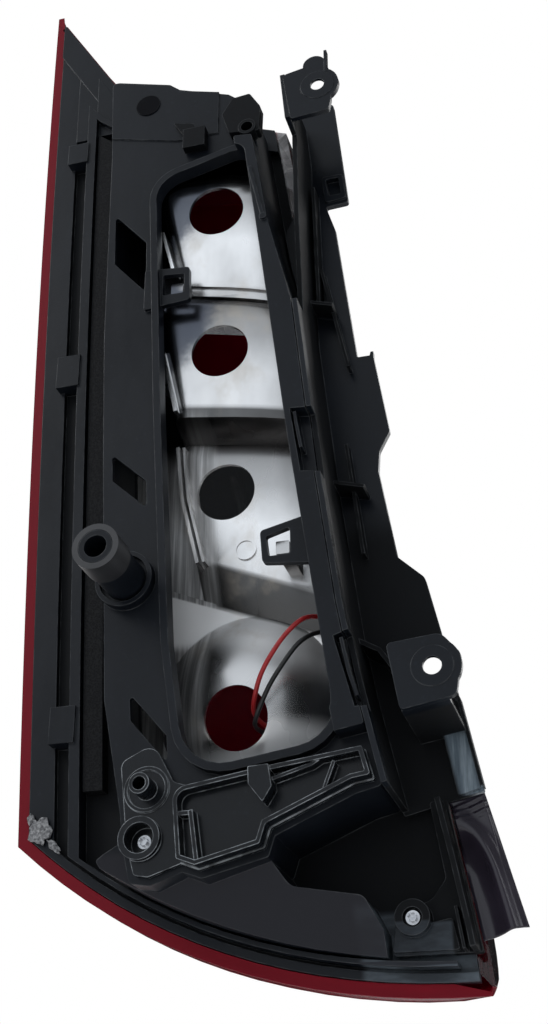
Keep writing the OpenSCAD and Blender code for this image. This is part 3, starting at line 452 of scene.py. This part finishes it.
CLIP_DARK, CLIP_LIGHT = (0.0014, 0.0017, 0.0024), (0.0035, 0.0042, 0.0056)
MATERIALS = {
    "housing": moulded(
        "black_plastic", (0.0028, 0.0038, 0.006), (0.0066, 0.0088, 0.013), 0.36, painted_light_and_dull=housing_face),
    "side_rail": moulded(
        "rail_plastic", (0.0028, 0.004, 0.0064), (0.0066, 0.0091, 0.0138), 0.33, spec=0.22, painted_light_and_dull=rail_face),
    "lower_bracket": moulded(
        "bracket_plastic", (0.0024, 0.0032, 0.0046), (0.0055, 0.0072, 0.01), 0.24,
        grain=0.15, edge=1.0, edge_gain=45.0, spec=0.28),
    "red_lens": red_plastic("red_plastic"),
    "clear_lens": clear_plastic("clear_plastic"),
    "reflector": chrome("mirror_coat"),
    "sealant_bead": rubber("sealant", (0.35, 0.35, 0.33), (0.6, 0.6, 0.57), 0.45),
    "body_seal": foam("foam"),
    "corner_flap": rubber("flap_rubber", (0.015, 0.012, 0.018), (0.032, 0.026, 0.038), 0.2),
    "peg_bush": rubber("bush_rubber", (0.016, 0.0165, 0.0185), (0.036, 0.037, 0.041), 0.5),
    "breather_cap": moulded(
        "cap_plastic", (0.0007, 0.0008, 0.002), (0.0014, 0.0016, 0.0034), 0.55, spec=0.06, edge=0.3),
    "top_retainer": moulded("clip_plastic", CLIP_DARK, CLIP_LIGHT, 0.4, spec=0.12),
    "lead_clip": moulded("clip_plastic_2", CLIP_DARK, CLIP_LIGHT, 0.4, spec=0.12),
    "screw_left": screw_metal("screw_steel"),
    "red_wire": insulation("wire_red", (0.28, 0.008, 0.01)),
    "black_wire": insulation("wire_black", (0.006, 0.006, 0.0065)),
    "wire_grommet": rubber("grommet_rubber", (0.012, 0.012, 0.013), (0.022, 0.022, 0.024), 0.5),
    "wire_terminal": moulded("terminal_plastic", (0.006, 0.006, 0.0066), (0.012, 0.012, 0.013), 0.4),
}
MATERIALS["screw_right"] = MATERIALS["screw_left"]


# ---------------------------------------------------------------- CAD nodes
SMOOTH_ANGLE = 32
WELD_REACH = 0.01 * MM


def smooth(obj, angle):
    """Shade a node smoothly, but keep the edges sharper than an angle in degrees."""
    weld = obj.modifiers.new("weld", "WELD")
    weld.merge_threshold = WELD_REACH
    split = obj.modifiers.new("split", "EDGE_SPLIT")
    split.split_angle = math.radians(angle)
    attributes = obj.data.attributes
    if "custom_normal" in attributes:
        attributes.remove(attributes["custom_normal"])
    for face in obj.data.polygons:
        face.use_smooth = True


for name, material in MATERIALS.items():
    obj = NODES[name]
    obj.data.materials.clear()
    obj.data.materials.append(material)
    smooth(obj, SMOOTH_ANGLE)


def mesh_piece(name, points, faces):
    """A smooth mesh object from points in mm."""
    data = bpy.data.meshes.new(name)
    data.from_pydata([(px / 1000, py / 1000, pz / 1000) for px, py, pz in points], [], faces)
    data.validate()
    made = bmesh.new()
    made.from_mesh(data)
    bmesh.ops.recalc_face_normals(made, faces=made.faces)
    made.to_mesh(data)
    made.free()
    for face in data.polygons:
        face.use_smooth = True
    piece = bpy.data.objects.new(name, data)
    bpy.context.scene.collection.objects.link(piece)
    return piece


# ---------------------------------------------------------------- rubber flap
FLAP_BACK_Y = 42.8
FLAP_THICK = 1.0
FLAP_ACROSS, FLAP_DOWN = 48, 72

# How far in mm each form lifts the flap off its back, and the spacing of the folds down it.
CREST_RISE, BULGE_RISE, FOLD_RISE, SLACK_RISE = 4.6, 1.4, 0.85, 0.25
FOLD_PITCH = 0.052


def bell(value, middle, width):
    """1 at the middle, fading to 0 on both sides."""
    return math.exp(-((value - middle) / width) ** 2)


def flap_point(u, t):
    """A point of the front of the flap in mm, with u across it and t down it, both from 0 to 1."""
    x0, x1 = -3.2 + 10.2 * t, 11.2 + 13.5 * t
    x = x0 + (x1 - x0) * u
    z = -41.9 - 54.6 * t + u * (2.9 + 1.4 * t)
    # The bulge: a crest that arches over a hollow and turns down the free side.
    r = math.hypot(u / 0.92, max(0.0, 0.6 - t) / 0.56)
    crest = bell(r, 0.74, 0.2)
    hollow = bell(r, 0.22, 0.22)
    fade = min(1.0, t / 0.08) * min(1.0, (1.02 - u) / 0.12) * min(1.0, (u + 0.02) / 0.1)
    lift = (CREST_RISE * crest * (1 - 0.45 * max(0.0, t - 0.5)) + BULGE_RISE * (1 - hollow)) * fade
    # The folds where it is gathered under the rail, and a slack wave over all of it.
    gather = max(0.0, 1 - t / 0.2)
    lift += FOLD_RISE * gather * math.sin(2 * math.pi * (t + 0.05 * u) / FOLD_PITCH) * min(1.0, t / 0.02)
    lift += SLACK_RISE * math.sin(9 * u + 4 * t) * math.sin(5 * t + 1)
    return x, FLAP_BACK_Y - max(0.0, lift), z


def flap_sheet(name, across, down, thick):
    """The soft flap as a sheet of even thickness."""
    front = [flap_point(i / across, j / down) for j in range(down + 1) for i in range(across + 1)]
    points = front + [(px, py + thick, pz) for px, py, pz in front]
    row, half = across + 1, len(front)
    faces = []
    for j in range(down):
        for i in range(across):
            a = j * row + i
            faces.append((a, a + 1, a + row + 1, a + row))
            faces.append((half + a, half + a + row, half + a + row + 1, half + a + 1))
    top = list(range(row))
    right = [j * row + across for j in range(1, down + 1)]
    bottom = [down * row + i for i in range(across - 1, -1, -1)]
    left = [j * row for j in range(down - 1, 0, -1)]
    rim = top + right + bottom + left
    faces += [(a, half + a, half + b, b) for a, b in zip(rim, rim[1:] + rim[:1])]
    return mesh_piece(name, points, faces)


flap = flap_sheet("flap_skin", FLAP_ACROSS, FLAP_DOWN, FLAP_THICK)
flap.data.materials.append(MATERIALS["corner_flap"])
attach(flap, "root")
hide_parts("corner_flap")

# ---------------------------------------------------------------- dried adhesive at the lower left corner
GLUE = adhesive("dried_adhesive")
CRUST_RINGS, CRUST_SPOKES = 7, 28

# In mm: the face the crusts lie on, their height, the thickness of their edge, their roughness, and how deep they sink.
CRUST_Y = 43.6
CRUST_HEIGHT, CRUST_EDGE, CRUST_GRAIN, CRUST_SUNK = 0.9, 0.05, 0.12, 0.3


def residue(name, centre, size, lean, seed):
    """A thin crust with a ragged outline and lumps, lying on a face that looks to -Y."""
    rng = random.Random(seed)
    phase = [rng.uniform(0, 2 * math.pi) for _ in range(5)]
    angles = [2 * math.pi * k / CRUST_SPOKES for k in range(CRUST_SPOKES)]
    outline = [
        1 + 0.16 * math.sin(2 * a + phase[0]) + 0.13 * math.sin(5 * a + phase[1]) + 0.08 * math.sin(9 * a + phase[2])
        for a in angles]
    points = [(centre[0], CRUST_Y - CRUST_HEIGHT, centre[1])]
    for ring in range(1, CRUST_RINGS + 1):
        r = ring / CRUST_RINGS
        for a, reach in zip(angles, outline):
            u, v = size[0] * r * reach * math.cos(a), size[1] * r * reach * math.sin(a)
            lump = (1 - r ** 3) * (0.55 + 0.45 * math.sin(2.3 * u + phase[3]) * math.sin(1.9 * v + phase[4]))
            points.append((
                centre[0] + u * math.cos(lean) - v * math.sin(lean),
                CRUST_Y - CRUST_EDGE - CRUST_HEIGHT * lump - rng.uniform(0, CRUST_GRAIN) * (1 - r),
                centre[1] + u * math.sin(lean) + v * math.cos(lean)))
    last = len(points) - CRUST_SPOKES
    points += [(px, CRUST_Y + CRUST_SUNK, pz) for px, _, pz in points[last:]]
    faces = [(0, 1 + k, 1 + (k + 1) % CRUST_SPOKES) for k in range(CRUST_SPOKES)]
    for ring in range(CRUST_RINGS):
        a, b = 1 + ring * CRUST_SPOKES, 1 + (ring + 1) * CRUST_SPOKES
        for k in range(CRUST_SPOKES):
            h = (k + 1) % CRUST_SPOKES
            faces.append((a + k, b + k, b + h, a + h))
    faces.append([len(points) - 1 - k for k in range(CRUST_SPOKES)])
    piece = mesh_piece(name, points, faces)
    piece.data.materials.append(GLUE)
    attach(piece, "root")


residue("adhesive_1", (-180.2, -39.0), (4.6, 6.6), 0.25, 3)
residue("adhesive_2", (-173.2, -46.2), (4.4, 1.5), -0.7, 5)
residue("adhesive_3", (-184.9, -33.6), (1.4, 2.8), 0.1, 8)

# ---------------------------------------------------------------- stage and light
FLOOR_Z, FLOOR_HALF, FLOOR_GLOW = -0.42, 4, 0.22
floor_mesh = bpy.data.meshes.new("floor")
floor_mesh.from_pydata(
    [(i * FLOOR_HALF, j * FLOOR_HALF, FLOOR_Z) for i, j in ((-1, -1), (1, -1), (1, 1), (-1, 1))],
    [], [(0, 1, 2, 3)])
floor = bpy.data.objects.new("floor", floor_mesh)
bpy.context.scene.collection.objects.link(floor)
paint = Shade("floor_white")
paint.set(color=(0.9, 0.9, 0.9), rough=0.9, spec=0.1)
paint.bsdf.inputs["Emission Color"].default_value = (1, 1, 1, 1)
paint.bsdf.inputs["Emission Strength"].default_value = FLOOR_GLOW
floor_mesh.materials.append(paint.mat)

# The camera sees a white backdrop. Everything else is lit by a dimmer sky with a bright side and a dark side.
world = bpy.data.worlds.new("studio")
bpy.context.scene.world = world
world.use_nodes = True
tree = world.node_tree
tree.nodes.clear()
direction = tree.nodes.new("ShaderNodeTexCoord")


def lobe(towards, start, full, low, high):
    """Brightness that goes from low to high as a direction nears the given one."""
    dot = tree.nodes.new("ShaderNodeVectorMath")
    dot.operation = "DOT_PRODUCT"
    dot.inputs[1].default_value = Vector(towards).normalized()
    tree.links.new(direction.outputs["Generated"], dot.inputs[0])
    spread = tree.nodes.new("ShaderNodeMapRange")
    spread.interpolation_type = "SMOOTHSTEP"
    for key, number in (("From Min", start), ("From Max", full), ("To Min", low), ("To Max", high)):
        spread.inputs[key].default_value = number
    tree.links.new(dot.outputs["Value"], spread.inputs["Value"])
    return spread.outputs["Result"]


white = tree.nodes.new("ShaderNodeBackground")
white.inputs["Color"].default_value = (1, 1, 1, 1)
white.inputs["Strength"].default_value = 1.0
soft = tree.nodes.new("ShaderNodeBackground")
soft.inputs["Color"].default_value = (0.92, 0.98, 1.05, 1)
bright_side = lobe((-0.25, -0.85, 0.45), 0.45, 0.97, 0.16, 0.85)
dark_side = lobe((-0.25, 0.83, 0.47), 0.3, 0.93, 1.0, 0.06)
sky = tree.nodes.new("ShaderNodeMath")
sky.operation = "MULTIPLY"
tree.links.new(bright_side, sky.inputs[0])
tree.links.new(dark_side, sky.inputs[1])
tree.links.new(sky.outputs[0], soft.inputs["Strength"])
path = tree.nodes.new("ShaderNodeLightPath")
mix = tree.nodes.new("ShaderNodeMixShader")
out = tree.nodes.new("ShaderNodeOutputWorld")
tree.links.new(path.outputs["Is Camera Ray"], mix.inputs[0])
tree.links.new(soft.outputs[0], mix.inputs[1])
tree.links.new(white.outputs[0], mix.inputs[2])
tree.links.new(mix.outputs[0], out.inputs[0])

CENTRE = (-0.1, 0.03, 0.15)


def lamp(name, at, size, power, colour=(1, 1, 1)):
    """A rectangular lamp aimed at the middle of the part."""
    data = bpy.data.lights.new(name, "AREA")
    data.shape = "RECTANGLE"
    data.size, data.size_y = size
    data.energy = power
    data.color = colour
    obj = bpy.data.objects.new(name, data)
    obj.location = at
    obj.rotation_euler = (Vector(CENTRE) - Vector(at)).to_track_quat("-Z", "Y").to_euler()
    obj.visible_camera = False
    obj.visible_transmission = False
    bpy.context.scene.collection.objects.link(obj)


lamp("key", (-1.5, -0.9, 1.3), (0.7, 0.7), 12)
lamp("side", (1.4, -0.4, 0.5), (0.3, 1.2), 2.5, (0.93, 0.96, 1.0))
lamp("front", (0.7, 1.5, 0.9), (1.2, 1.2), 12)
lamp("front_left", (-1.3, 1.2, 0.2), (0.6, 1.2), 5)
